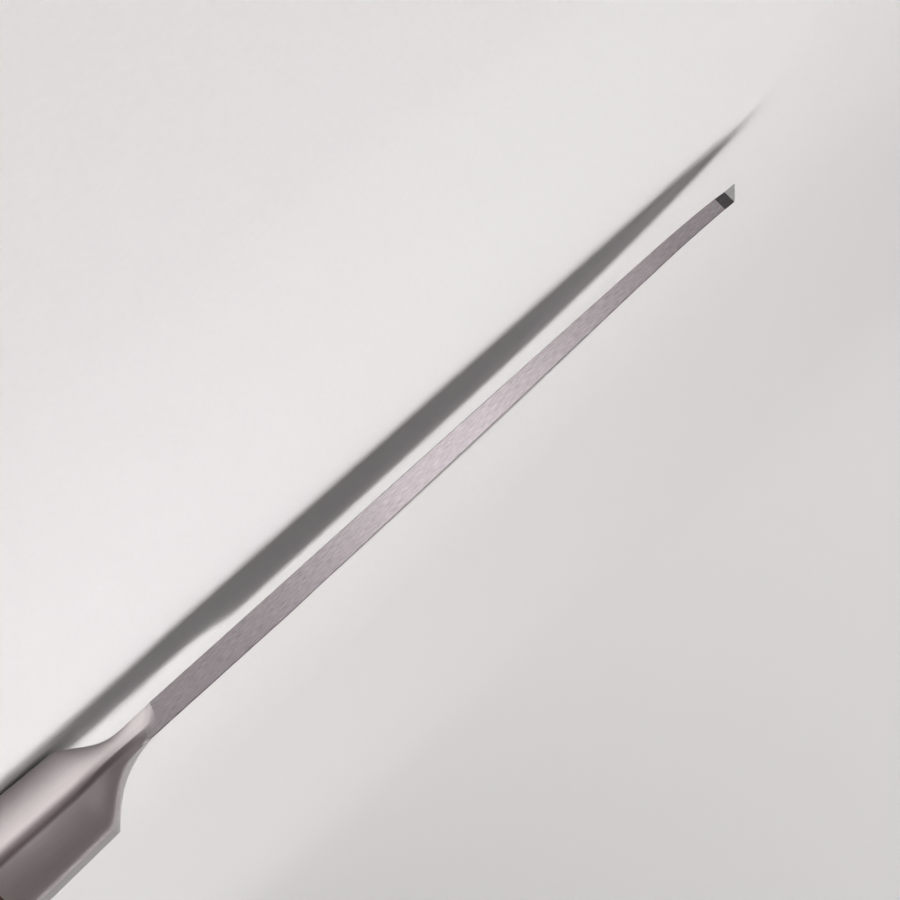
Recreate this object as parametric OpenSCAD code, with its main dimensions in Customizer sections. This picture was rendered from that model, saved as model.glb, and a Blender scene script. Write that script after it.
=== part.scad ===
// Boning knife with a narrow, stiff blade, a full tang, welded bolster cheeks and riveted wooden scales.
// It lies on its left side: +X runs to the tip, +Y to the spine and +Z out of the right side.
// The left face of the blade is flat, and only the right face is ground.

/* [Blade] */
// Length of the blade from the neck to the tip
blade_l = 150; // [125:1:180]
// How far the heel hangs below the bolster
heel_drop = 8; // [4:0.5:11]
// Length of the unsharpened hollow between the bolster and the heel
heel_l = 9; // [6:0.5:14]
// Thickness of the spine at the neck
spine_w = 5.2; // [4.2:0.1:6.4]
// Thickness of the spine where the clipped tip starts
clip_w = 3; // [2:0.1:3.8]
// Length of the spine that keeps its full thickness
parallel_l = 29; // [10:1:50]
// Thickness left at the cutting edge
edge_w = 0.2; // [0.1:0.05:0.4]
// Height of the small rounding along the spine's corners
spine_round = 0.3; // [0.1:0.05:0.6]
// How far the edge rises evenly between heel and tip
edge_rise = 6; // [2:0.5:9]

/* [Tip] */
// Length of the clip that ends the spine
clip_l = 5.8; // [4:0.2:9]
// How far the spine drops along the clip
clip_drop = 2; // [0.5:0.1:6]
// Length over which the spine bends down before the clip
fall_l = 18; // [10:1:28]
// How far the spine drops before the clip
fall_drop = 2.8; // [1:0.1:5]
// Length over which the thickness runs out at the tip
point_l = 2.75; // [1.5:0.25:4]

/* [Bolster] */
// Length from the neck to the joint with the scales
bolster_l = 41.5; // [34:0.5:50]
// Height from top to belly
bolster_depth = 23; // [20:0.5:27]
// Width where the flare ends
shoulder_w = 18.4; // [16:0.1:20]
// Distance of that shoulder from the start of the neck
shoulder_l = 21.2; // [15:0.2:26]
// Length of the neck that is part of the blade
neck_l = 2.5; // [1.5:0.5:6]
// How far the top dips between the neck and the scales
neck_dip = 0.8; // [0:0.1:1.5]
// How strongly the two sides meet in a soft ridge on top
ridge = 0.25; // [0:0.05:0.4]

/* [Handle] */
// Length of the scales
scale_l = 85; // [72:1:100]
// Width across both scales
handle_w = 20; // [18:0.5:23]
// Swelling of the belly in the palm
palm_swell = 1.5; // [0:0.25:3]
// Drop of the belly at the butt
butt_drop = 3; // [0:0.5:3.5]
// Rounding of the butt at the top
butt_top_r = 9; // [5:0.5:10]
// Rounding of the butt at the belly
butt_belly_r = 7; // [4:0.5:8]
// Rounding of the butt on each side
butt_side_r = 3; // [1:0.5:5]

/* [Tang] */
// Thickness of the tang between the cheeks and between the scales
tang_w = 3.2; // [2.4:0.1:3.8]

/* [Rivets] */
// Diameter of the heads
head_d = 7; // [5.5:0.25:8]
// Height of the heads
head_h = 1.6; // [1:0.1:2.2]
// Outer diameter of the hollow shank
tube_d = 4.4; // [3.8:0.1:5]
// Diameter of the solid shank
stud_d = 3; // [2:0.1:3.2]
// Length of the solid shank below its head
stud_l = 10; // [7:0.5:12]
// Distance of the front rivet from the bolster
front_inset = 15; // [10:1:22]
// Distance of the rear rivet from the butt
rear_inset = 19; // [14:1:26]
// Gap around each head and shank
rivet_gap = 0.05; // [0.02:0.01:0.1]
// Height of the flat side left above and below each head
flat_margin = 0.75; // [0.25:0.25:2]

/* [Hidden] */

steel = [0.72, 0.70, 0.71];
satin_steel = [0.60, 0.56, 0.57];
rivet_steel = [0.80, 0.79, 0.78];
wood = [0.30, 0.13, 0.10];

// Planes and ends that several pieces share
mid_z = handle_w / 2;
left_z = mid_z - spine_w / 2;
tang_low = mid_z - tang_w / 2;
tang_high = mid_z + tang_w / 2;
handle_l = bolster_l + scale_l;
flat_h = head_d + 2 * flat_margin;
clip_x = blade_l - clip_l;
fall_x = clip_x - fall_l;
tip_y = -fall_drop - clip_drop;
heel_y = -bolster_depth - heel_drop;
reach = 100;

// Shape of the curves: how late the flare opens, how full the grind is and how late the edge turns up,
// then the top's share of a section's rounding, the least sizes and how far a cut runs past a surface
flare_soft = 2.3;
flare_crisp = 2.8;
grind_full = 1.1;
hollow_late = 1.7;
belly_late = 4.5;
ridge_sharp = 1.25;
top_share = 0.53;
least_dome = 0.3;
blunt = 0.1;
past = 1;
$fn = 64;

// Number of points along each stretch of a section
TOP_STEPS = 16;
SIDE_STEPS = 7;
BELLY_STEPS = 10;

// Number of sections along each stretch of the knife, from the tip to the butt
POINT_STEPS = 5;
CLIP_STEPS = 3;
FALL_STEPS = 6;
BLADE_STEPS = 14;
HEEL_STEPS = 8;
NECK_STEPS = 3;
FLARE_STEPS = 16;
BODY_STEPS = 3;
SCALE_STEPS = 12;
BUTT_STEPS = 8;

function clamp(u) = min(1, max(0, u));
function ease(u) = let (v = clamp(u)) v * v * (3 - 2 * v);
function mix(a, b, u) = a + (b - a) * u;
function steps(from, to, n) = [for (i = [1 : n]) mix(from, to, i / n)];

// How much a quarter-round of radius r takes away at distance d from the end
function round_off(d, r) = d < r ? r - sqrt(r * r - (r - d) * (r - d)) : 0;

// Side view: the upper and the lower outline
function spine_y(x) =
    x > clip_x ? -fall_drop - clip_drop * (x - clip_x) / clip_l
    : -fall_drop * pow(clamp((x - fall_x) / fall_l), 2);
function edge_y(x) =
    let (u = clamp((x - heel_l) / (blade_l - heel_l)))
    heel_y + edge_rise * u + (tip_y - blunt - heel_y - edge_rise) * pow(u, belly_late);
function top_y(x) =
    x >= 0 ? spine_y(x)
    : x > -bolster_l ? -neck_dip * pow(sin(180 * -x / bolster_l), 2)
    : -round_off(x + handle_l, butt_top_r);
function along_scale(x) = clamp((-x - bolster_l) / scale_l);
function belly_y(x) =
    -bolster_depth
    - palm_swell * pow(sin(180 * along_scale(x)), 2)
    - butt_drop * ease((along_scale(x) - 0.5) * 2)
    + round_off(x + handle_l, butt_belly_r);
function low_y(x) =
    x >= heel_l ? edge_y(x)
    : x > 0 ? mix(-bolster_depth, heel_y, pow(x / heel_l, hollow_late))
    : belly_y(x);

// Thickness of the blade along its spine, and at height y where its right face is ground
function spine_t(x) =
    mix(spine_w, clip_w, clamp((x - parallel_l) / (clip_x - parallel_l)))
    * clamp(max(blunt, blade_l - x) / point_l);
function ground_t(x, y) =
    let (u = clamp((y - edge_y(x)) / max(blunt, spine_y(x) - edge_y(x))))
    let (thin = min(edge_w, spine_t(x)))
    mix(thin, spine_t(x), 1 - pow(1 - u, grind_full));

// Half of the width of the handle, and how far the flare has opened at depth share v
function half_w(x) =
    mix(shoulder_w, handle_w, clamp((-x - shoulder_l) / (bolster_l - shoulder_l))) / 2
    - round_off(x + handle_l, butt_side_r);
function flare(x, v) =
    let (u = clamp((-x - neck_l) / (shoulder_l - neck_l)))
    mix(pow(ease(u), flare_soft), pow(u, flare_crisp), v);
function left_at(x, v) = mix(left_z, mid_z - half_w(x), x < 0 ? flare(x, v) : 0);
function right_at(x, y, v) =
    x < 0 ? mix(left_z + ground_t(0, y), mid_z + half_w(x), flare(x, v)) : left_z + ground_t(x, y);

// Heights of the rounded top and of the rounded belly of a section
function swell(x) = x < 0 ? ease(-x / shoulder_l) : 0;
function round_h(x) = max(2 * least_dome, top_y(x) - low_y(x) - flat_h);
function dome_h(x) =
    x >= 0 ? min(spine_round, (top_y(x) - low_y(x)) / 4)
    : mix(spine_round, top_share * round_h(x), swell(x));
function keel_h(x) =
    x >= 0 ? min(spine_round, (top_y(x) - low_y(x)) / 4)
    : mix(spine_round, (1 - top_share) * round_h(x), swell(x));

// One arc over a section's top or under its belly, as shares [across, drop] from one side to the other
function arc(n, peak) = [
    for (i = [0 : n])
    let (c = cos(180 * i / n))
    [c, (1 - peak) * (1 - sqrt(max(0, 1 - c * c))) + peak * pow(abs(c), ridge_sharp)]
];
function arc_point(x, side_y, drop_y, lo, hi, share) =
    [x, side_y + drop_y * (1 - share[1]), mix(lo, hi, (1 + share[0]) / 2)];

// The closed outline of the knife's section at x, from the right side over the top to the left side
function section(x) =
    let (y1 = top_y(x) - dome_h(x))
    let (y2 = low_y(x) + keel_h(x))
    let (inner = [for (i = [1 : SIDE_STEPS - 1]) i / SIDE_STEPS])
    concat(
        [for (s = arc(TOP_STEPS, ridge))
            arc_point(x, y1, dome_h(x), left_at(x, 0), right_at(x, y1, 0), s)],
        [for (v = inner) [x, mix(y1, y2, v), left_at(x, v)]],
        [for (s = arc(BELLY_STEPS, 0))
            arc_point(x, y2, -keel_h(x), left_at(x, 1), right_at(x, y2, 1), [-s[0], s[1]])],
        [for (v = inner) [x, mix(y2, y1, v), right_at(x, mix(y2, y1, v), 1 - v)]]
    );

// The point that a ring's end face fans out from
function middle(ring) = [
    for (axis = [0 : 2])
    let (values = [for (p = ring) p[axis]])
    (min(values) + max(values)) / 2
];

// A closed skin over the sections at the stations in xs
module skin(xs) {
    rings = [for (x = xs) section(x)];
    n = len(rings[0]);
    last = len(rings) - 1;
    first_middle = n * len(rings);
    polyhedron(
        points = concat([for (ring = rings) each ring], [middle(rings[0]), middle(rings[last])]),
        faces = concat(
            [for (k = [0 : n - 1]) [first_middle, k, (k + 1) % n]],
            [for (k = [0 : n - 1]) [first_middle + 1, last * n + (k + 1) % n, last * n + k]],
            [for (j = [0 : last - 1], k = [0 : n - 1])
                let (a = j * n + k)
                let (b = j * n + (k + 1) % n)
                each [[a, a + n, b + n], [a, b + n, b]]]
        )
    );
}

// Stations along the knife, from the tip to the butt
butt_r = max(butt_top_r, butt_belly_r);
blade_xs = concat(
    [blade_l],
    steps(blade_l, blade_l - point_l, POINT_STEPS),
    steps(blade_l - point_l, clip_x, CLIP_STEPS),
    steps(clip_x, fall_x, FALL_STEPS),
    steps(fall_x, heel_l, BLADE_STEPS),
    steps(heel_l, 0, HEEL_STEPS)
);
neck_xs = steps(0, -neck_l, NECK_STEPS);
flare_xs = steps(-neck_l, -shoulder_l, FLARE_STEPS);
body_xs = steps(-shoulder_l, -bolster_l, BODY_STEPS);
scale_xs = concat(
    steps(-bolster_l, butt_r - handle_l, SCALE_STEPS),
    [for (i = [1 : BUTT_STEPS]) butt_r * (1 - sin(90 * i / BUTT_STEPS)) - handle_l]
);

// A block that is larger than the handle, behind the station at from_x and between two heights
module side_block(from_x, from_z, to_z) {
    translate([from_x - 2 * reach, -reach / 2, from_z])
        cube([2 * reach, reach, to_z - from_z]);
}

// Rivets: each stands halfway down the handle, with its axis across it
function rivet_spot(x) = [x, (top_y(x) + belly_y(x)) / 2];
front_x = -bolster_l - front_inset;
rear_x = -handle_l + rear_inset;
spots = [for (x = [front_x, (front_x + rear_x) / 2, rear_x]) rivet_spot(x)];

module at_rivet(i) {
    translate([spots[i][0], spots[i][1], 0])
        children();
}

module rivet_holes() {
    for (i = [0 : 2])
        at_rivet(i) {
            translate([0, 0, -past])
                cylinder(d = tube_d + 2 * rivet_gap, h = handle_w + 2 * past);
            translate([0, 0, -past])
                cylinder(d = head_d + 2 * rivet_gap, h = head_h + past);
            translate([0, 0, handle_w - head_h])
                cylinder(d = head_d + 2 * rivet_gap, h = head_h + past);
        }
}

// The origin is below the middle of the knife's length and depth, on the surface that it lies on
module place() {
    lowest_y = min(heel_y, -bolster_depth - butt_drop);
    translate([(handle_l - blade_l) / 2, -lowest_y / 2, 0])
        children();
}

module cheek(from_z, to_z) {
    color(satin_steel)
        place()
            intersection() {
                skin(concat([-neck_l], flare_xs, body_xs));
                side_block(past, from_z, to_z);
            }
}

module slab(from_z, to_z) {
    color(wood)
        place()
            difference() {
                intersection() {
                    skin(concat([-bolster_l], scale_xs));
                    side_block(past, from_z, to_z);
                }
                rivet_holes();
            }
}

module stud(i) {
    color(rivet_steel)
        place()
            at_rivet(i) {
                translate([0, 0, handle_w - head_h])
                    cylinder(d = head_d, h = head_h);
                translate([0, 0, handle_w - head_h - stud_l])
                    cylinder(d = stud_d, h = stud_l);
            }
}

module tube(i) {
    color(rivet_steel)
        place()
            at_rivet(i)
                difference() {
                    union() {
                        cylinder(d = head_d, h = head_h);
                        cylinder(d = tube_d, h = handle_w - head_h);
                    }
                    translate([0, 0, head_h])
                        cylinder(d = stud_d + 2 * rivet_gap, h = handle_w);
                }
}

// The blade and its tang are one piece: the whole skin without what the cheeks and the slabs fill
module blade() {
    color(steel)
        place()
            difference() {
                skin(concat(blade_xs, neck_xs, flare_xs, body_xs, scale_xs));
                side_block(-neck_l, -reach, tang_low);
                side_block(-neck_l, tang_high, reach);
                rivet_holes();
            }
}

module bolster_left() { cheek(-reach, tang_low); }
module bolster_right() { cheek(tang_high, reach); }
module scale_left() { slab(-reach, tang_low); }
module scale_right() { slab(tang_high, reach); }
module rivet_stud_front() { stud(0); }
module rivet_stud_middle() { stud(1); }
module rivet_stud_rear() { stud(2); }
module rivet_tube_front() { tube(0); }
module rivet_tube_middle() { tube(1); }
module rivet_tube_rear() { tube(2); }

blade();
bolster_left();
bolster_right();
scale_left();
scale_right();
rivet_stud_front();
rivet_stud_middle();
rivet_stud_rear();
rivet_tube_front();
rivet_tube_middle();
rivet_tube_rear();
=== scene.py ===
# %% [markdown]
# # A boning knife
# A boning knife has a short, stiff blade that is guided with the point. This one has a full tang: blade
# and tang are one bar of steel. Two steel cheeks are welded to it and ground into one smooth bolster, and
# two slabs of dark wood are riveted on behind them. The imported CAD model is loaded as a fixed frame, and
# every visible surface is made again here, finer and with its own finish.

# %% Load the frame
import math

import bmesh
import bpy
from mathutils import Matrix, Vector


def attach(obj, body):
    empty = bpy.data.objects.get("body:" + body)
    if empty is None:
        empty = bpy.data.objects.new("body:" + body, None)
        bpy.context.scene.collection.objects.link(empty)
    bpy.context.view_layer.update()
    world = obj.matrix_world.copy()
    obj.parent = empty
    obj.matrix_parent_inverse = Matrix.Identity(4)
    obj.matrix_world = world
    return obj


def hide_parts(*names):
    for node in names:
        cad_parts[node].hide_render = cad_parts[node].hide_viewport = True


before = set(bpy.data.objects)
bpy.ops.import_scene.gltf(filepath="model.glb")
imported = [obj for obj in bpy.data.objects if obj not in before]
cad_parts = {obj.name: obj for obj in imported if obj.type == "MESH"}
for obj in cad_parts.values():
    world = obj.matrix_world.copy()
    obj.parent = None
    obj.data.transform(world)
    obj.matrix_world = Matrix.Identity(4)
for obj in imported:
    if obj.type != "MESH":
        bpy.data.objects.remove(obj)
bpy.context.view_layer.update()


print("CAD nodes:", sorted(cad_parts))

# %% [markdown]
# ## The knife's sizes
# The work is done in millimetres, with x = 0 at the neck, y = 0 on the spine and z = 0 on the surface
# that the knife lies on. The sizes are those of the CAD source, so that each piece lands where its solid
# is. TO_FRAME turns a place in millimetres into one in metres, with the outline centred on the origin.

# %% Sizes in millimetres
BLADE_L, HEEL_DROP, HEEL_L = 150.0, 8.0, 9.0
SPINE_W, CLIP_W, PARALLEL_L = 5.2, 3.0, 29.0
CLIP_L, CLIP_DROP, FALL_L, FALL_DROP, POINT_L = 5.8, 2.0, 18.0, 2.8, 2.75
EDGE_RISE, BELLY_LATE, HOLLOW_LATE = 6.0, 4.5, 1.7
BOLSTER_L, BOLSTER_DEPTH, NECK_L, NECK_DIP = 41.5, 23.0, 2.5, 0.8
SHOULDER_W, SHOULDER_L, FLARE_SOFT, FLARE_CRISP = 18.4, 21.2, 2.3, 2.8
SCALE_L, HANDLE_W, PALM_SWELL, BUTT_DROP = 85.0, 20.0, 1.5, 3.0
BUTT_TOP_R, BUTT_BELLY_R, BUTT_SIDE_R = 9.0, 7.0, 3.0
TANG_W, HEAD_D, HEAD_H, TUBE_D, STUD_D, STUD_L = 3.2, 7.0, 1.6, 4.4, 3.0, 10.0
FRONT_INSET, REAR_INSET, RIVET_GAP = 15.0, 19.0, 0.05
FLAT_H, TOP_SHARE, BLUNT = 8.5, 0.53, 0.1

MID_Z = HANDLE_W / 2
LEFT_Z = MID_Z - SPINE_W / 2
TANG_LOW, TANG_HIGH = MID_Z - TANG_W / 2, MID_Z + TANG_W / 2
HANDLE_L = BOLSTER_L + SCALE_L
CLIP_X = BLADE_L - CLIP_L
FALL_X = CLIP_X - FALL_L
TIP_Y = -FALL_DROP - CLIP_DROP
HEEL_Y = -BOLSTER_DEPTH - HEEL_DROP
TO_FRAME = Matrix.Scale(0.001, 4) @ Matrix.Translation(((HANDLE_L - BLADE_L) / 2, -HEEL_Y / 2, 0))
print("Length", BLADE_L + HANDLE_L, "depth", -HEEL_Y, "width", HANDLE_W)

# %% [markdown]
# ## One outline for the whole knife
# Seen from the side, a knife is two lines: the spine above and the edge, heel and belly below.
# Each is written as a function that gives a height for every place x along the knife. The clipped tip
# has two facets, a steep one and a flatter one that runs out into the point.


# %% Side view
def clamp(u):
    return min(1.0, max(0.0, u))


def ease(u):
    v = clamp(u)
    return v * v * (3 - 2 * v)


def mix(a, b, u):
    return a + (b - a) * u


def round_off(d, r):
    """What a quarter-round of radius r takes away at distance d from the end."""
    return r - math.sqrt(r * r - (r - d) ** 2) if d < r else 0.0


STEEP_L, STEEP_DROP = 3.0, 1.5


def spine_y(x):
    past_clip = x - CLIP_X
    if past_clip <= 0:
        return -FALL_DROP * clamp((x - FALL_X) / FALL_L) ** 2
    if past_clip < STEEP_L:
        return -FALL_DROP - STEEP_DROP * past_clip / STEEP_L
    return mix(-FALL_DROP - STEEP_DROP, TIP_Y, (past_clip - STEEP_L) / (CLIP_L - STEEP_L))


def edge_y(x):
    u = clamp((x - HEEL_L) / (BLADE_L - HEEL_L))
    return HEEL_Y + EDGE_RISE * u + (TIP_Y - BLUNT - HEEL_Y - EDGE_RISE) * u**BELLY_LATE


def top_y(x):
    if x >= 0:
        return spine_y(x)
    if x > -BOLSTER_L:
        return -NECK_DIP * math.sin(math.pi * -x / BOLSTER_L) ** 2
    return -round_off(x + HANDLE_L, BUTT_TOP_R)


def belly_y(x):
    share = clamp((-x - BOLSTER_L) / SCALE_L)
    palm = PALM_SWELL * math.sin(math.pi * share) ** 2
    rounded = round_off(x + HANDLE_L, BUTT_BELLY_R)
    return -BOLSTER_DEPTH - palm - BUTT_DROP * ease(2 * share - 1) + rounded


def low_y(x):
    if x >= HEEL_L:
        return edge_y(x)
    return mix(-BOLSTER_DEPTH, HEEL_Y, (x / HEEL_L) ** HOLLOW_LATE) if x > 0 else belly_y(x)


for name, x in (("tip", BLADE_L), ("heel", HEEL_L), ("neck", 0.0), ("butt", -HANDLE_L)):
    print(name, "from", round(low_y(x), 2), "to", round(top_y(x), 2))

# %% [markdown]
# ## Widths
# The left face of the blade is one flat plane, and only the right face is ground. Behind the neck both
# sides flare out to the bolster's shoulder, softly near the top and crisply near the belly.


# %% Widths of the blade and the handle
POINT_FULL = 0.7


def spine_t(x):
    thickness = mix(SPINE_W, CLIP_W, clamp((x - PARALLEL_L) / (CLIP_X - PARALLEL_L)))
    return thickness * clamp(max(BLUNT, BLADE_L - x) / POINT_L) ** POINT_FULL


THIN = 0.3


def ground_t(x, y):
    u = clamp((y - edge_y(x)) / max(BLUNT, spine_y(x) - edge_y(x)))
    thickness = spine_t(x)
    return mix(min(THIN, thickness), thickness, u)


def half_w(x):
    opened = clamp((-x - SHOULDER_L) / (BOLSTER_L - SHOULDER_L))
    return mix(SHOULDER_W, HANDLE_W, opened) / 2 - round_off(x + HANDLE_L, BUTT_SIDE_R)


def flare(x, v):
    u = clamp((-x - NECK_L) / (SHOULDER_L - NECK_L))
    return mix(ease(u) ** FLARE_SOFT, u**FLARE_CRISP, v)


def left_z(x, v):
    return mix(LEFT_Z, MID_Z - half_w(x), flare(x, v)) if x < 0 else LEFT_Z


def right_z(x, y, v):
    if x < 0:
        return mix(LEFT_Z + ground_t(0, y), MID_Z + half_w(x), flare(x, v))
    return LEFT_Z + ground_t(x, y)


print("Spine", round(spine_t(0), 2), "at the neck and", round(spine_t(CLIP_X), 2), "at the clip")

# %% [markdown]
# ## The outline of a section
# A cut straight across the knife gives one closed outline. On the blade its top is flat with eased
# corners, and its foot is a thin bevel on the right side alone. On the bolster the top is a dome of two
# soft facets that meet in a narrow crest, a little to the right of the middle. A single function gives
# both and blends them over the neck along a slanted line, so one surface runs from the tip to the butt.

# %% Section across the knife
TOP_POINTS, SIDE_POINTS, FOOT_POINTS = 96, 20, 32
SPINE_R, BEVEL_H, CHOIL_R = 0.18, 0.9, 0.5
CREST_SHARE, CREST_SOFT, CREST_ASIDE = 0.32, 0.08, 0.3
NECK_CROWN, NECK_SHARE, CROWN_LATE = 0.75, 0.6, 1.5
FACET_START, FACET_SKEW, FACET_L_LEFT, FACET_L_RIGHT = -0.25, 0.85, 1.6, 5.0
SKEW_FADE, SHARP_FADE, LEAST_ROUND = 2.0, 1.2, 0.6


def swell(x):
    """How far the section has grown from the blade's, at 0, to the bolster's, at 1."""
    return ease(-x / SHOULDER_L) if x < 0 else 0.0


def round_h(x):
    """Height of the rounded parts above and below the flat of a side."""
    return max(LEAST_ROUND, top_y(x) - low_y(x) - FLAT_H)


def dome(x, c):
    """How far the domed top lies below the crest at c, from -1 on the left to 1 on the right."""
    height = mix(NECK_CROWN, TOP_SHARE * round_h(x), swell(x) ** CROWN_LATE)
    aside = CREST_ASIDE / mix(SPINE_W / 2, HANDLE_W / 2, flare(x, 0))
    c = (c - aside) / (1 + aside if c < aside else 1 - aside)
    crest = (math.hypot(c, CREST_SOFT) - CREST_SOFT) / (math.hypot(1, CREST_SOFT) - CREST_SOFT)
    return height * mix(1 - math.sqrt(max(0.0, 1 - c * c)), crest, mix(NECK_SHARE, CREST_SHARE, swell(x)))


def top_drop(x, c):
    """The drop of the top: a flat spine with eased corners on the blade, a dome behind the neck."""
    radius = min(SPINE_R, spine_t(max(x, 0.0)) / 3)
    corner = round_off((1 - abs(c)) * spine_t(max(x, 0.0)) / 2, radius)
    domed = ease((FACET_START - FACET_SKEW * c - x) / mix(FACET_L_LEFT, FACET_L_RIGHT, (1 + c) / 2))
    return mix(corner, dome(x, c), domed)


def foot_point(x, c):
    """Height of the foot of the section at c: a bevel where the blade is sharp, a keel elsewhere."""
    sharp = ease((x - HEEL_L + SHARP_FADE / 2) / SHARP_FADE)
    bevel = min(BEVEL_H, (top_y(x) - low_y(x)) / 4)
    keel = mix(min(CHOIL_R, bevel), (1 - TOP_SHARE) * round_h(x), swell(x))
    rounded = low_y(x) + keel * (1 - math.sqrt(max(0.0, 1 - c * c)))
    return mix(rounded, low_y(x) + bevel * (1 + c) / 2, sharp)


def skewed(x, c):
    """Slants a ring over the neck, so that rings run along the slanted ends of the two facets."""
    nearby = ease((x + NECK_L) / SKEW_FADE) * ease((NECK_L - x) / SKEW_FADE)
    return x - FACET_SKEW * c * nearby


def section(x):
    outline = []
    x_l, x_r = skewed(x, -1.0), skewed(x, 1.0)
    top_l, top_r = top_y(x_l) - top_drop(x_l, -1.0), top_y(x_r) - top_drop(x_r, 1.0)
    foot_l, foot_r = foot_point(x_l, -1.0), foot_point(x_r, 1.0)
    for i in range(TOP_POINTS + 1):
        c = math.cos(math.pi * i / TOP_POINTS)
        x_c = skewed(x, c)
        z = mix(left_z(x_c, 0), right_z(x_c, top_r, 0), (1 + c) / 2)
        outline.append(Vector((x_c, top_y(x_c) - top_drop(x_c, c), z)))
    for i in range(1, SIDE_POINTS):
        v = i / SIDE_POINTS
        outline.append(Vector((x_l, mix(top_l, foot_l, v), left_z(x_l, v))))
    for i in range(FOOT_POINTS + 1):
        c = -math.cos(math.pi * i / FOOT_POINTS)
        x_c = skewed(x, c)
        z = mix(left_z(x_c, 1), right_z(x_c, foot_r, 1), (1 + c) / 2)
        outline.append(Vector((x_c, foot_point(x_c, c), z)))
    for i in range(1, SIDE_POINTS):
        y = mix(foot_r, top_r, i / SIDE_POINTS)
        outline.append(Vector((x_r, y, right_z(x_r, y, 1 - i / SIDE_POINTS))))
    return outline


RING = len(section(0.0))
print("Points in a ring:", RING)

# %% [markdown]
# ## Forging the bar
# A smith draws a bar out and hammers it to shape, and the mesh is made in the same way. It starts as a
# plain round bar from create_cone, is cut into rings by subdivide_edges, and each ring is then pressed
# onto the outline of its section. The rings stand closer together where the shape changes fast.
# Each vertex also remembers two things. "lay" is its place along the knife and its distance round the
# section from the middle of the top, so a finish can follow the surface. "whole_normal" is the direction
# of the uncut surface there, so that pieces sawn from one bar shade as one surface across the joint.


# %% Forge a bar between stations
def steps(start, end, count):
    return [mix(start, end, i / count) for i in range(1, count + 1)]


def girth(ring):
    """Distance of each point from the middle of the top, along the outline; positive to the right."""
    middle = TOP_POINTS // 2
    lengths = [(ring[i] - ring[i - 1]).length for i in range(len(ring))]
    to_left = [0.0]
    for i in range(1, RING):
        to_left.append(to_left[-1] + lengths[(middle + i) % RING])
    whole = to_left[-1] + lengths[middle]
    signed = {}
    for i, distance in enumerate(to_left):
        signed[(middle + i) % RING] = -distance if distance < whole / 2 else whole - distance
    return [signed[i] for i in range(RING)]


def forge(stations):
    bm = bmesh.new()
    bmesh.ops.create_cone(bm, cap_ends=True, segments=RING, radius1=1, radius2=1, depth=2)
    bmesh.ops.rotate(bm, verts=bm.verts, matrix=Matrix.Rotation(math.pi / 2, 3, "Y"))
    lengthwise = [e for e in bm.edges if abs(e.verts[0].co.x - e.verts[1].co.x) > 1]
    bmesh.ops.subdivide_edges(bm, edges=lengthwise, cuts=len(stations) - 2)
    lay = bm.verts.layers.float_vector.new("lay")
    whole = bm.verts.layers.float_vector.new("whole_normal")
    bm.faces.layers.int.new("sawn")
    rings = [section(x) for x in stations]
    girths = [girth(ring) for ring in rings]
    for vert in bm.verts:
        ring = round((1 - vert.co.x) / 2 * (len(stations) - 1))
        turn = (math.pi / 2 - math.atan2(vert.co.z, vert.co.y)) / (2 * math.pi)
        spot = round(turn * RING) % RING
        vert.co = rings[ring][spot]
        vert[lay] = (vert.co.x / 1000, girths[ring][spot] / 1000, 0)
    bmesh.ops.recalc_face_normals(bm, faces=bm.faces)
    bm.normal_update()
    for vert in bm.verts:
        vert[whole] = vert.normal
    return bm


HEEL_END, NECK_START = HEEL_L + 2, 1.5
point_x = [BLADE_L] + steps(BLADE_L, CLIP_X + STEEP_L, 14) + steps(CLIP_X + STEEP_L, CLIP_X, 12)
blade_x = steps(CLIP_X, FALL_X, 16) + steps(FALL_X, HEEL_END, 44) + steps(HEEL_END, NECK_START, 26)
neck_x = steps(NECK_START, -NECK_L, 20)
bolster_x = steps(-NECK_L, -SHOULDER_L, 56) + steps(-SHOULDER_L, -BOLSTER_L, 16)
BUTT_R = max(BUTT_TOP_R, BUTT_BELLY_R)
scale_x = steps(-BOLSTER_L, BUTT_R - HANDLE_L, 44)
BUTT_RINGS = 20
scale_x += [BUTT_R * (1 - math.sin(math.pi / 2 * i / BUTT_RINGS)) - HANDLE_L
            for i in range(1, BUTT_RINGS + 1)]
all_x = point_x + blade_x + neck_x + bolster_x + scale_x
print("Rings from tip to butt:", len(all_x))

# %% [markdown]
# ## Cutting pieces from the bar
# bisect_plane saws the mesh along a plane, and then the faces on one side are deleted. That leaves the
# cut open, and edgeloop_fill closes it with one flat face. The tang is sawn out of the bar in the same
# way, but only behind the neck, which leaves a small step on each side for the cheeks to butt against.


# %% Saw along a plane
TOUCHING, BEYOND = 1e-4, 1e-5
X, Z = 0, 2


def saw(bm, point, away, behind_x=None):
    """Cuts along the plane through point and drops the faces on its away side, or only those behind x."""
    def is_cut(face):
        return behind_x is None or max(v.co.x for v in face.verts) < behind_x + TOUCHING

    chosen = {f for f in bm.faces if is_cut(f)}
    geometry = list(chosen | {e for f in chosen for e in f.edges} | {v for f in chosen for v in f.verts})
    bmesh.ops.bisect_plane(bm, geom=geometry, dist=TOUCHING, plane_co=point, plane_no=away)
    dropped = [f for f in bm.faces
               if is_cut(f) and (f.calc_center_median() - Vector(point)).dot(Vector(away)) > BEYOND]
    bmesh.ops.delete(bm, geom=dropped, context="FACES")


def close(bm, edges=None):
    """Closes an open cut, or all of them, with flat faces, marks these as sawn and points faces out."""
    chosen = edges or [e for e in bm.edges if e.is_boundary]
    made = bmesh.ops.edgeloop_fill(bm, edges=chosen, mat_nr=0, use_smooth=False)["faces"]
    sawn = bm.faces.layers.int["sawn"]
    for face in made:
        face[sawn] = 1
    bmesh.ops.recalc_face_normals(bm, faces=bm.faces)


def is_at(verts, axis, value):
    return all(abs(v.co[axis] - value) < TOUCHING for v in verts)


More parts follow.
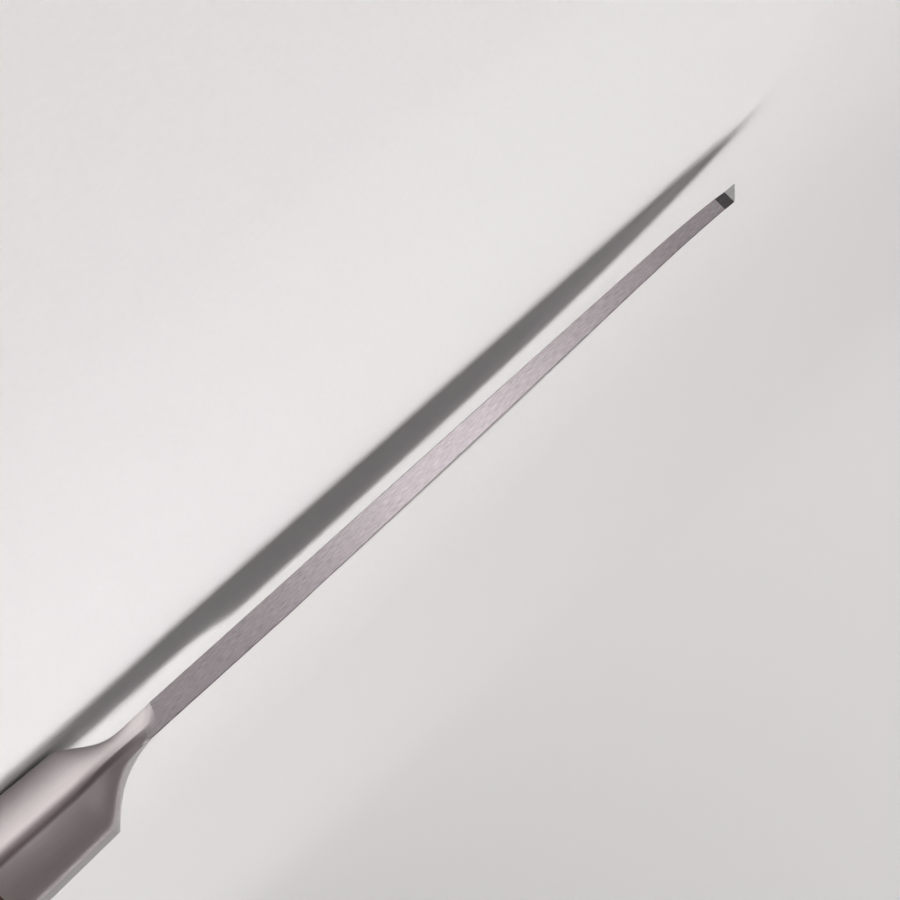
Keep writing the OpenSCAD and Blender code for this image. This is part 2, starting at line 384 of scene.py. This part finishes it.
def saw_tang(bm):
    """Takes the room of the cheeks and the slabs out of the bar, on both sides of the tang."""
    for z, side in ((TANG_LOW, -1), (TANG_HIGH, 1)):
        saw(bm, (0, 0, z), (0, 0, side), -NECK_L)
        rim = {v for e in bm.edges if e.is_boundary for v in e.verts}
        corners = [v for v in rim if is_at([v], X, -NECK_L) and is_at([v], Z, z)]
        corners.sort(key=lambda v: v.co.y)
        bmesh.ops.contextual_create(bm, geom=[corners[0], corners[-1]])
        step_edge = next(e for e in corners[0].link_edges if e.other_vert(corners[0]) == corners[-1])
        flat = [e for e in bm.edges if e.is_boundary and is_at(e.verts, Z, z)]
        close(bm, flat + [step_edge])
        close(bm)


def cut_from_bar(front_x, rear_x, plane_z, away):
    """A piece of the whole bar between two places along it and on one side of the tang."""
    bm = forge(all_x)
    cuts = [((0, 0, plane_z), (0, 0, away)), ((front_x, 0, 0), (1, 0, 0))]
    if rear_x is not None:
        cuts.append(((rear_x, 0, 0), (-1, 0, 0)))
    for point, outwards in cuts:
        saw(bm, point, outwards)
        close(bm)
    return bm


def report(name, bm):
    loose = sum(1 for e in bm.edges if not e.is_manifold)
    print(name, "faces", len(bm.faces), "open edges", loose, "volume", round(bm.calc_volume(), 1), "mm3")


# %% [markdown]
# ## From a bar to a piece
# A finished piece is moved from millimetres on the bench to metres in the CAD frame, inside its mesh, so
# its object stays at the origin. Edges where two faces meet at more than 30 degrees stay crisp, and all
# others are shaded as one smooth surface. Each piece then takes over from its CAD node.

# %% Put a piece into the frame
CRISP, SAME_WAY = math.radians(30), 0.8


def normals_at_cuts(bm):
    """Corner normals: the uncut bar's where an outer face meets a sawn one, and (0, 0, 0) elsewhere."""
    sawn = bm.faces.layers.int.get("sawn")
    if sawn is None:
        return []
    whole = bm.verts.layers.float_vector["whole_normal"]
    on_cut = {v for f in bm.faces if f[sawn] for v in f.verts}
    return [vert[whole][:] if vert in on_cut and vert[whole].dot(face.normal) > SAME_WAY else (0, 0, 0)
            for face in bm.faces for vert in face.verts]


def place_piece(bm, name, nodes, paint):
    """Makes an object of the mesh. paint gives (material, test on a face's middle and normal) pairs."""
    mesh = bpy.data.meshes.new(name)
    for index, (material, fits) in enumerate(paint):
        mesh.materials.append(material)
        for face in bm.faces:
            if fits(face.calc_center_median(), face.normal):
                face.material_index = index
    for face in bm.faces:
        face.smooth = True
    for edge in bm.edges:
        edge.smooth = edge.calc_face_angle(0.0) < CRISP
    bmesh.ops.transform(bm, matrix=TO_FRAME, verts=bm.verts)
    seam_normals = normals_at_cuts(bm)
    bm.to_mesh(mesh)
    bm.free()
    if any(seam_normals):
        mesh.normals_split_custom_set(seam_normals)
    piece = bpy.data.objects.new(name, mesh)
    bpy.context.scene.collection.objects.link(piece)
    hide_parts(*nodes)
    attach(piece, "root")
    print(name, "has", len(mesh.polygons), "faces and", len(mesh.materials), "materials")


# %% [markdown]
# ## Brushing, shared by every steel surface
# Ground steel is covered in fine parallel scratches. They come from one noise texture that is stretched
# many times along the knife. The same streaks change the colour and the height a little, so they catch
# the light in the way that real ones do. A second output gives the faint cloudy marks that hands and
# cloths leave. A third marks the narrow line where the bolster's two facets meet and fades in behind the
# neck: it places a painted shade, a dark reflection painted onto the crest. "Neck" is full on the top at
# the neck and soon fades, along the slant of the facets. The group is built once and each steel gives it
# its own scales.


# %% Node helpers and the brushing group
def add(tree, kind, values=None, **settings):
    """Adds a node, sets its own settings and then the values of its inputs."""
    node = tree.nodes.new(kind)
    for key, value in settings.items():
        setattr(node, key, value)
    for key, value in (values or {}).items():
        node.inputs[key].default_value = value
    return node


def stretched_noise(tree, vector, along, across, detail):
    """Noise of so many features a metre along the knife and across it; along and across are sockets."""
    scales = add(tree, "ShaderNodeCombineXYZ")
    tree.links.new(along, scales.inputs["X"])
    tree.links.new(across, scales.inputs["Y"])
    tree.links.new(across, scales.inputs["Z"])
    product = add(tree, "ShaderNodeVectorMath", operation="MULTIPLY")
    tree.links.new(vector, product.inputs[0])
    tree.links.new(scales.outputs["Vector"], product.inputs[1])
    noise = add(tree, "ShaderNodeTexNoise", {"Scale": 1.0, "Detail": detail, "Roughness": 0.6})
    tree.links.new(product.outputs["Vector"], noise.inputs["Vector"])
    return noise.outputs["Fac"]


def calculate(tree, operation, *values):
    """Adds a math node; each value is a number or the socket of another node."""
    node = add(tree, "ShaderNodeMath", operation=operation)
    for socket, value in zip(node.inputs, values):
        if isinstance(value, float):
            socket.default_value = value
        else:
            tree.links.new(value, socket)
    return node.outputs["Value"]


def fade(tree, value, none, full, easing="SMOOTHSTEP"):
    """Gives 0 where the value is at none or past it, 1 at full or past it, and a ramp between."""
    node = add(tree, "ShaderNodeMapRange", {"From Min": none, "From Max": full},
               interpolation_type=easing)
    tree.links.new(value, node.inputs["Value"])
    return node.outputs["Result"]


NECK_SLANT = 1.2


def make_brushing():
    tree = bpy.data.node_groups.new("lengthwise_brushing", "ShaderNodeTree")
    tree.interface.new_socket("Vector", in_out="INPUT", socket_type="NodeSocketVector")
    for name, value in (("Along", 60.0), ("Across", 6000.0), ("Cloud Size", 40.0)):
        socket = tree.interface.new_socket(name, in_out="INPUT", socket_type="NodeSocketFloat")
        socket.default_value = value
    inside = add(tree, "NodeGroupInput")
    vector, cloud_size = inside.outputs["Vector"], inside.outputs["Cloud Size"]
    streaks = stretched_noise(tree, vector, inside.outputs["Along"], inside.outputs["Across"], 4.0)
    clouds = stretched_noise(tree, vector, cloud_size, cloud_size, 2.0)
    parts = add(tree, "ShaderNodeSeparateXYZ")
    tree.links.new(vector, parts.inputs["Vector"])
    along, aside = parts.outputs["X"], parts.outputs["Y"]
    from_left, from_right = fade(tree, aside, -0.0014, 0.0003), fade(tree, aside, 0.0021, 0.0012)
    narrow = calculate(tree, "MULTIPLY", from_left, from_right)
    slanted = calculate(tree, "ADD", along, calculate(tree, "MULTIPLY", aside, NECK_SLANT))
    on_the_top = fade(tree, calculate(tree, "ABSOLUTE", aside), 0.0036, 0.0028)
    results = {
        "Streaks": fade(tree, streaks, 0.3, 0.7, "LINEAR"),
        "Clouds": fade(tree, clouds, 0.35, 0.65),
        # Painted shade: a narrow band along the bolster's crest, fading in behind the neck, where a darker
        # tone is painted.
        "Painted Crest Shade": calculate(tree, "MULTIPLY", narrow, fade(tree, along, -0.001, -0.019)),
        "Neck": calculate(tree, "MULTIPLY", fade(tree, slanted, -0.0045, 0.0004), on_the_top),
    }
    for name in results:
        tree.interface.new_socket(name, in_out="OUTPUT", socket_type="NodeSocketFloat")
    outside = add(tree, "NodeGroupOutput")
    for name, result in results.items():
        tree.links.new(result, outside.inputs[name])
    return tree


brushing = make_brushing()
print("Group outputs:", [item.name for item in brushing.interface.items_tree if item.in_out == "OUTPUT"])

# %% [markdown]
# ## The steels
# One recipe makes them all. The colour changes between two tones from streak to streak, the clouds shift
# the roughness, and a faint bump lets single scratches glint. Scratches that run along the knife spread
# a reflection across it, so the tangent for the anisotropy is the cross product of the surface's normal
# and the knife's length, which is square to both. The length is tilted by a hair, because the product
# would vanish on a face that looks straight along the knife. On the bolster the tone starts as that of
# the spine at the neck, and a darker tone is painted along the crest: a painted shade that stands in for
# the dark reflection there.


# %% A brushed steel
def blend(tree, factor, first, second):
    """Mixes two colours, each given as numbers or as the socket of another node."""
    node = add(tree, "ShaderNodeMix", data_type="RGBA")
    tree.links.new(factor, node.inputs["Factor"])
    for side, colour in (("A", first), ("B", second)):
        if isinstance(colour, tuple):
            node.inputs[side].default_value = (*colour, 1)
        else:
            tree.links.new(colour, node.inputs[side])
    return node.outputs["Result"]


LENGTHWISE, SCRATCH_DEPTH, CLOUDING = (1, 0.001, 0.001), 0.00001, 0.012


def brushed_steel(name, dark, light, along, across, roughness, bump, anisotropy,
                  layer="lay", ridged_with_painted_crest_shade=False):
    material = bpy.data.materials.new(name)
    material.use_nodes = True
    tree = material.node_tree
    shader = tree.nodes["Principled BSDF"]
    shader.inputs["Metallic"].default_value = 1.0
    shader.inputs["Anisotropic"].default_value = anisotropy
    brush = add(tree, "ShaderNodeGroup", node_tree=brushing)
    if layer:
        place = add(tree, "ShaderNodeAttribute", attribute_name=layer)
        tree.links.new(place.outputs["Vector"], brush.inputs["Vector"])
    else:
        place = add(tree, "ShaderNodeTexCoord")
        tree.links.new(place.outputs["Object"], brush.inputs["Vector"])
    brush.inputs["Along"].default_value = along
    brush.inputs["Across"].default_value = across
    colour = blend(tree, brush.outputs["Streaks"], dark, light)
    if ridged_with_painted_crest_shade:
        by_the_spine = blend(tree, brush.outputs["Streaks"], *SPINE_TONES)
        colour = blend(tree, brush.outputs["Neck"], colour, by_the_spine)
        # Painted shade: a darker tone along the crest stands in for the dark reflection there.
        colour = blend(tree, brush.outputs["Painted Crest Shade"], colour, PAINTED_CREST_SHADE_TONE)
    tree.links.new(colour, shader.inputs["Base Color"])
    rough = add(tree, "ShaderNodeMapRange",
                {"To Min": roughness - CLOUDING, "To Max": roughness + CLOUDING})
    tree.links.new(brush.outputs["Clouds"], rough.inputs["Value"])
    tree.links.new(rough.outputs["Result"], shader.inputs["Roughness"])
    relief = add(tree, "ShaderNodeBump", {"Strength": bump, "Distance": SCRATCH_DEPTH})
    tree.links.new(brush.outputs["Streaks"], relief.inputs["Height"])
    tree.links.new(relief.outputs["Normal"], shader.inputs["Normal"])
    surface = add(tree, "ShaderNodeNewGeometry")
    square_to_both = add(tree, "ShaderNodeVectorMath", operation="CROSS_PRODUCT")
    tree.links.new(surface.outputs["Normal"], square_to_both.inputs[0])
    square_to_both.inputs[1].default_value = LENGTHWISE
    tree.links.new(square_to_both.outputs["Vector"], shader.inputs["Tangent"])
    return material


SPINE_TONES = (0.335, 0.305, 0.318), (0.58, 0.534, 0.556)
# The tone of the painted shade along the bolster's crest, a painted dark reflection.
PAINTED_CREST_SHADE_TONE = (0.31, 0.265, 0.272)
spine_steel = brushed_steel(
    "spine_steel", *SPINE_TONES, along=520, across=6000, roughness=0.35, bump=0.5, anisotropy=0.85)
face_steel = brushed_steel(
    "face_steel", (0.60, 0.58, 0.58), (0.72, 0.70, 0.70),
    along=200, across=6000, roughness=0.33, bump=0.25, anisotropy=0.6)
bevel_steel = brushed_steel(
    "bevel_steel", (0.74, 0.73, 0.73), (0.82, 0.81, 0.81),
    along=300, across=8000, roughness=0.18, bump=0.1, anisotropy=0.4)
# Painted shade: the steep facet of the clip gets a near-black steel that stands in for the dark it
# reflects.
clip_steel_painted_dark = brushed_steel(
    "clip_steel_painted_dark", (0.07, 0.068, 0.07), (0.13, 0.125, 0.13),
    along=500, across=5000, roughness=0.45, bump=0.2, anisotropy=0.2)
point_steel = brushed_steel(
    "point_steel", (0.42, 0.43, 0.42), (0.56, 0.57, 0.56),
    along=500, across=5000, roughness=0.34, bump=0.2, anisotropy=0.3)
bolster_steel = brushed_steel(
    "bolster_steel", (0.91, 0.85, 0.845), (0.985, 0.945, 0.94),
    along=120, across=5600, roughness=0.32, bump=0.3, anisotropy=0.7, ridged_with_painted_crest_shade=True)
tang_steel = brushed_steel(
    "tang_steel", (0.60, 0.57, 0.57), (0.72, 0.69, 0.69),
    along=200, across=5600, roughness=0.32, bump=0.2, anisotropy=0.5)
rivet_steel = brushed_steel(
    "rivet_steel", (0.70, 0.68, 0.66), (0.82, 0.80, 0.78),
    along=300, across=6000, roughness=0.23, bump=0.2, anisotropy=0.4, layer=None)
steels = (spine_steel, face_steel, bevel_steel, clip_steel_painted_dark, point_steel, bolster_steel, tang_steel,
          rivet_steel)
print("Steels:", [steel.name for steel in steels])

# %% [markdown]
# ## Wood for the slabs
# The slabs are thin sheets of stained wood that were pressed together in resin, so the grain runs dead
# straight along the handle and the surface is smooth and a little glossy. Two stretched noises give broad
# dark bands and fine pores, and a thin coat on the shader gives the gloss of the resin.

# %% Resin-filled wood
slab_wood = bpy.data.materials.new("slab_wood")
slab_wood.use_nodes = True
tree = slab_wood.node_tree
wood_shader = tree.nodes["Principled BSDF"]
wood_shader.inputs["Roughness"].default_value = 0.42
wood_shader.inputs["Coat Weight"].default_value = 0.35
wood_shader.inputs["Coat Roughness"].default_value = 0.18
place = add(tree, "ShaderNodeTexCoord")
bands_map = add(tree, "ShaderNodeMapping", {"Scale": (9.0, 420.0, 420.0)})
pores_map = add(tree, "ShaderNodeMapping", {"Scale": (110.0, 5200.0, 5200.0)})
bands = add(tree, "ShaderNodeTexNoise",
            {"Scale": 1.0, "Detail": 5.0, "Roughness": 0.55, "Distortion": 0.4})
pores = add(tree, "ShaderNodeTexNoise", {"Scale": 1.0, "Detail": 3.0, "Roughness": 0.6})
for mapping, noise in ((bands_map, bands), (pores_map, pores)):
    tree.links.new(place.outputs["Object"], mapping.inputs["Vector"])
    tree.links.new(mapping.outputs["Vector"], noise.inputs["Vector"])
tones = add(tree, "ShaderNodeValToRGB")
dark_end, pale_end = tones.color_ramp.elements
dark_end.position, dark_end.color = 0.32, (0.030, 0.012, 0.010, 1)
pale_end.position, pale_end.color = 0.68, (0.150, 0.050, 0.036, 1)
tones.color_ramp.elements.new(0.5).color = (0.085, 0.030, 0.022, 1)
tree.links.new(bands.outputs["Fac"], tones.inputs["Fac"])
PORE_TONE = (0.016, 0.008, 0.007)
pore_mask = fade(tree, pores.outputs["Fac"], 0.34, 0.46, "LINEAR")
wood_colour = blend(tree, pore_mask, PORE_TONE, tones.outputs["Color"])
tree.links.new(wood_colour, wood_shader.inputs["Base Color"])
pore_bump = add(tree, "ShaderNodeBump", {"Strength": 0.3, "Distance": 0.00002})
tree.links.new(pore_mask, pore_bump.inputs["Height"])
tree.links.new(pore_bump.outputs["Normal"], wood_shader.inputs["Normal"])
print("Wood made with", len(tree.nodes), "nodes")

# %% [markdown]
# ## Blade and tang
# The whole bar is forged once and the tang is sawn out of it, so the steel runs unbroken from the tip to
# the butt. What tells most surfaces apart is their finish: the spine is coarsely brushed, the faces and
# the sides of the bolster are finer and the bevel at the edge is almost polished. The steep facet of the
# clip is painted near-black: a painted shade that stands in for the dark it reflects.


# %% Make the blade
def rivet_spots():
    front, rear = -BOLSTER_L - FRONT_INSET, -HANDLE_L + REAR_INSET
    return {name: Vector((x, (top_y(x) + belly_y(x)) / 2, 0))
            for name, x in (("front", front), ("middle", (front + rear) / 2), ("rear", rear))}


FINISH_SPARE, FINISH_BACK, LOOKS_UP = 0.05, 0.3, 0.3


def on_top(middle):
    return middle.y > top_y(middle.x) - SPINE_R - FINISH_SPARE


def on_side(middle):
    """Whether a spot behind the neck lies between the domed top and the rounded foot."""
    x, c = middle.x, (1.0 if middle.z > MID_Z else -1.0)
    return -BOLSTER_L < x <= 0 and foot_point(x, c) < middle.y < top_y(x) - top_drop(x, c)


def facet_line(middle):
    """Where the flat of the spine ends: further forward on the left side than on the right."""
    left, right = left_z(middle.x, 0), right_z(middle.x, top_y(middle.x), 0)
    c = 2 * (middle.z - left) / (right - left) - 1
    return FACET_START - FACET_SKEW * c - FINISH_BACK


bar = forge(all_x)
saw_tang(bar)
report("blade and tang", bar)
place_piece(bar, "blade_and_tang", ["blade"], [
    (face_steel, lambda middle, normal: middle.x > 0),
    (bolster_steel, lambda middle, normal: -BOLSTER_L < middle.x <= 0),
    (face_steel, lambda middle, normal: on_side(middle)),
    (spine_steel, lambda middle, normal: middle.x > facet_line(middle) and on_top(middle)),
    # Painted shade on the steep facet of the clip.
    (clip_steel_painted_dark, lambda middle, normal: CLIP_X < middle.x < CLIP_X + STEEP_L and on_top(middle)),
    (bevel_steel, lambda middle, normal: middle.x > HEEL_L and middle.y < low_y(middle.x) + BEVEL_H),
    (point_steel, lambda middle, normal: middle.x > CLIP_X + STEEP_L and normal.y > LOOKS_UP),
    (tang_steel, lambda middle, normal: middle.x <= -BOLSTER_L),
])

# %% [markdown]
# ## Bolster cheeks
# Each cheek is the same bar again, kept only on its own side of the tang. Cheek and tang share one
# outline, so their surfaces meet without a step, as they do when the weld has been ground away.

# %% Make the cheeks
for side, plane_z, away in (("left", TANG_LOW, 1), ("right", TANG_HIGH, -1)):
    cheek = cut_from_bar(-NECK_L, -BOLSTER_L, plane_z, away)
    report("cheek " + side, cheek)
    place_piece(cheek, "cheek_" + side, ["bolster_" + side],
                [(bolster_steel, lambda middle, normal: True),
                 (face_steel, lambda middle, normal: on_side(middle))])

# %% [markdown]
# ## Rivets
# A cutler's rivet has two halves that are hammered together: a hollow one with a head on the left side
# and a solid one with a head on the right. Each is a turned part, so its profile is drawn as a few points
# and spun round its axis. The rims of the heads are eased, which draws a fine dark ring in the wood.


# %% Turn a profile round an upright axis
TURN_STEPS, MERGE = 96, 1e-5


def turn(profile, centre):
    """Spins (radius, z) points round the centre. With both ends on the axis they make a closed solid."""
    bm = bmesh.new()
    verts = [bm.verts.new(centre + Vector((radius, 0, z))) for radius, z in profile]
    edges = [bm.edges.new(pair) for pair in zip(verts, verts[1:])]
    bmesh.ops.spin(bm, geom=verts + edges, cent=centre, axis=(0, 0, 1), angle=2 * math.pi,
                   steps=TURN_STEPS, use_merge=True)
    bmesh.ops.remove_doubles(bm, verts=bm.verts, dist=MERGE)
    bmesh.ops.recalc_face_normals(bm, faces=bm.faces)
    return bm


EASE = 0.12
stud_profile = [
    (0, HANDLE_W), (HEAD_D / 2 - EASE, HANDLE_W), (HEAD_D / 2 - EASE / 3, HANDLE_W - EASE / 3),
    (HEAD_D / 2, HANDLE_W - EASE), (HEAD_D / 2, HANDLE_W - HEAD_H), (STUD_D / 2, HANDLE_W - HEAD_H),
    (STUD_D / 2, HANDLE_W - HEAD_H - STUD_L), (0, HANDLE_W - HEAD_H - STUD_L),
]
tube_profile = [
    (0, 0), (HEAD_D / 2 - EASE, 0), (HEAD_D / 2 - EASE / 3, EASE / 3), (HEAD_D / 2, EASE),
    (HEAD_D / 2, HEAD_H), (TUBE_D / 2, HEAD_H), (TUBE_D / 2, HANDLE_W - HEAD_H),
    (STUD_D / 2 + RIVET_GAP, HANDLE_W - HEAD_H), (STUD_D / 2 + RIVET_GAP, HEAD_H), (0, HEAD_H),
]
for spot, centre in rivet_spots().items():
    for half, profile in (("stud", stud_profile), ("tube", tube_profile)):
        rivet = turn(profile, centre)
        report(half + " " + spot, rivet)
        place_piece(rivet, f"{half}_{spot}", [f"rivet_{half}_{spot}"],
                    [(rivet_steel, lambda middle, normal: True)])

# %% [markdown]
# ## Handle slabs
# A slab is sawn from the bar like a cheek. Its front rim is then beveled a little, because wood that is
# sanded beside steel ends in a soft edge. The holes for the rivets are drilled with Boolean modifiers and
# turned drills. A drill has the rivet's own form with a little room round it, and the drilled shape is
# read back into a bmesh at once, so no modifier stays on the piece.


# %% Drill and make the slabs
def drilled(bm, drills):
    """Returns the mesh with the drills taken out of it."""
    body = bpy.data.objects.new("drill_body", bpy.data.meshes.new("drill_body"))
    bm.to_mesh(body.data)
    bm.free()
    tools = []
    for drill in drills:
        tool = bpy.data.objects.new("drill_tool", bpy.data.meshes.new("drill_tool"))
        drill.to_mesh(tool.data)
        drill.free()
        cut = body.modifiers.new("drill", "BOOLEAN")
        cut.operation, cut.object, cut.solver = "DIFFERENCE", tool, "EXACT"
        tools.append(tool)
    for made in [body] + tools:
        bpy.context.scene.collection.objects.link(made)
    result = bmesh.new()
    result.from_object(body, bpy.context.evaluated_depsgraph_get())
    for made in [body] + tools:
        bpy.data.objects.remove(made)
    return result


HEAD_R, SHANK_R, PAST = HEAD_D / 2 + RIVET_GAP, TUBE_D / 2 + RIVET_GAP, 1.0
drill_profile = [
    (0, -PAST), (HEAD_R, -PAST), (HEAD_R, HEAD_H), (SHANK_R, HEAD_H), (SHANK_R, HANDLE_W - HEAD_H),
    (HEAD_R, HANDLE_W - HEAD_H), (HEAD_R, HANDLE_W + PAST), (0, HANDLE_W + PAST),
]
RIM = 0.12
for side, plane_z, away in (("left", TANG_LOW, 1), ("right", TANG_HIGH, -1)):
    slab = cut_from_bar(-BOLSTER_L, None, plane_z, away)
    front_rim = [e for e in slab.edges
                 if e.calc_face_angle(0.0) > CRISP and is_at(e.verts, X, -BOLSTER_L)]
    bmesh.ops.bevel(slab, geom=front_rim, offset=RIM, offset_type="OFFSET", segments=2, profile=0.5,
                    affect="EDGES", material=-1, clamp_overlap=True)
    slab = drilled(slab, [turn(drill_profile, centre) for centre in rivet_spots().values()])
    report("slab " + side, slab)
    place_piece(slab, "slab_" + side, ["scale_" + side],
                [(slab_wood, lambda middle, normal: True)])

# %% [markdown]
# ## Floor
# The knife lies in the middle of a very wide, shallow bowl of pale card. Its floor is flat and its rim
# curves up, so there is no horizon line, from whatever side the camera looks. It is turned like a rivet
# and lies a hair below the knife. It belongs to the studio and not to the knife.

# %% Make the bowl
INNER_R, FLAT_R, CURVE_R, BELOW = 0.5, 1.1, 0.9, 0.00002
bowl_profile = [(0, 0), (INNER_R, 0), (FLAT_R, 0)]
bowl_profile += [(FLAT_R + CURVE_R * math.sin(a), CURVE_R - CURVE_R * math.cos(a))
                 for a in steps(0, math.pi / 2, 18)]
bm = turn([(radius, z - BELOW) for radius, z in bowl_profile], Vector((0, 0, 0)))
if min(bm.faces, key=lambda f: f.calc_center_median().length).normal.z < 0:
    bmesh.ops.reverse_faces(bm, faces=bm.faces)
for face in bm.faces:
    face.smooth = True
mesh = bpy.data.meshes.new("floor")
bm.to_mesh(mesh)
bm.free()
floor = bpy.data.objects.new("floor", mesh)
bpy.context.scene.collection.objects.link(floor)

card = bpy.data.materials.new("pale_card")
card.use_nodes = True
tree = card.node_tree
card_shader = tree.nodes["Principled BSDF"]
card_shader.inputs["Roughness"].default_value = 0.9
card_shader.inputs["Specular IOR Level"].default_value = 0.1
place = add(tree, "ShaderNodeTexCoord")
fibres = add(tree, "ShaderNodeTexNoise", {"Scale": 900.0, "Detail": 3.0})
tree.links.new(place.outputs["Object"], fibres.inputs["Vector"])
card_tone = blend(tree, fibres.outputs["Fac"], (0.76, 0.76, 0.77), (0.80, 0.80, 0.80))
tree.links.new(card_tone, card_shader.inputs["Base Color"])
mesh.materials.append(card)
print("Floor faces:", len(mesh.polygons))

# %% [markdown]
# ## Light
# Polished steel shows whatever stands round it. The key lamp stands high and far off beyond the butt, so
# it lights the pale card evenly, and the card lights the left flank of the bolster. A narrow beam from
# the same place adds a little light round the handle. A tall panel in front is mirrored in the brushed
# spine, and a last lamp keeps the wall of the bowl pale. The sky is a plain darker grey, which is much of
# what the right flank shows, so the two flanks part at the crest.


# %% Lamps and sky
def softbox(name, spot, target, size, power, colour, spread=180):
    lamp = bpy.data.lights.new(name, "AREA")
    lamp.shape, lamp.size, lamp.size_y = "RECTANGLE", size[0], size[1]
    lamp.energy, lamp.color, lamp.spread = power, colour, math.radians(spread)
    stand = bpy.data.objects.new(name, lamp)
    stand.location = spot
    stand.rotation_euler = (Vector(spot) - Vector(target)).to_track_quat("Z", "Y").to_euler()
    bpy.context.scene.collection.objects.link(stand)


FAR_OFF = (-2.5, -0.05, 1.62)
WARM, COOL = (1.0, 0.985, 0.97), (1.0, 0.99, 1.0)
softbox("key_over_butt", FAR_OFF, (0.1, 0.03, 0), (1.65, 1.65), 26.0, WARM, spread=70)
softbox("handle_pool", FAR_OFF, (-0.04, 0.05, 0), (0.15, 0.15), 0.07, WARM, spread=8)
softbox("wall_wash", (0.25, -1.15, 1.25), (0.25, -1.9, 0.15), (1.6, 0.3), 7.2, WARM)
softbox("front_panel", (0.195, 1.0, 0.22), (0.05, 0.05, 0.01), (0.2, 0.4), 0.16, COOL, spread=60)
world = bpy.data.worlds.new("studio")
bpy.context.scene.world = world
world.use_nodes = True
world.node_tree.nodes["Background"].inputs["Color"].default_value = (0.108, 0.092, 0.093, 1)
world.node_tree.nodes["Background"].inputs["Strength"].default_value = 1.0
bpy.context.scene.view_settings.view_transform = "Standard"

# %% [markdown]
# ## Camera
# The camera looks down on the spine from close by, nine degrees up on the right side. It is placed by
# an aim point on the spine, a distance and three angles: how far it rolls over to the right side, how
# far it leans back over the handle and how far the knife is turned in the picture.

# %% Camera over the spine
DISTANCE = 0.300
ROLL, LEAN, IN_PICTURE = (math.radians(angle) for angle in (9.524, -8.071, 41.945))
FRAME_PX, FOCAL_PX, AIM_PX = 900, 1600.0, (462.74, 439.56)
aim = TO_FRAME @ Vector((BLADE_L / 2, 0, MID_Z))
upright = Vector((0, math.cos(ROLL), math.sin(ROLL)))
across = Vector((0, math.sin(ROLL), -math.cos(ROLL)))
back = upright * math.cos(LEAN) + Vector((math.sin(LEAN), 0, 0))
along = Vector((math.cos(LEAN), 0, 0)) - upright * math.sin(LEAN)
right = along * math.cos(IN_PICTURE) - across * math.sin(IN_PICTURE)
up = along * math.sin(IN_PICTURE) + across * math.cos(IN_PICTURE)
eye = bpy.data.cameras.new("camera")
eye.lens = FOCAL_PX / FRAME_PX * eye.sensor_width
eye.shift_x = (FRAME_PX / 2 - AIM_PX[0]) / FRAME_PX
eye.shift_y = (AIM_PX[1] - FRAME_PX / 2) / FRAME_PX
eye.clip_start = 0.01
camera = bpy.data.objects.new("camera", eye)
bpy.context.scene.collection.objects.link(camera)
turned = Matrix((right, up, back)).transposed().to_4x4()
camera.matrix_world = Matrix.Translation(aim + back * DISTANCE) @ turned
bpy.context.scene.camera = camera
print("Lens", round(eye.lens, 1), "mm, shift", round(eye.shift_x, 4), round(eye.shift_y, 4))
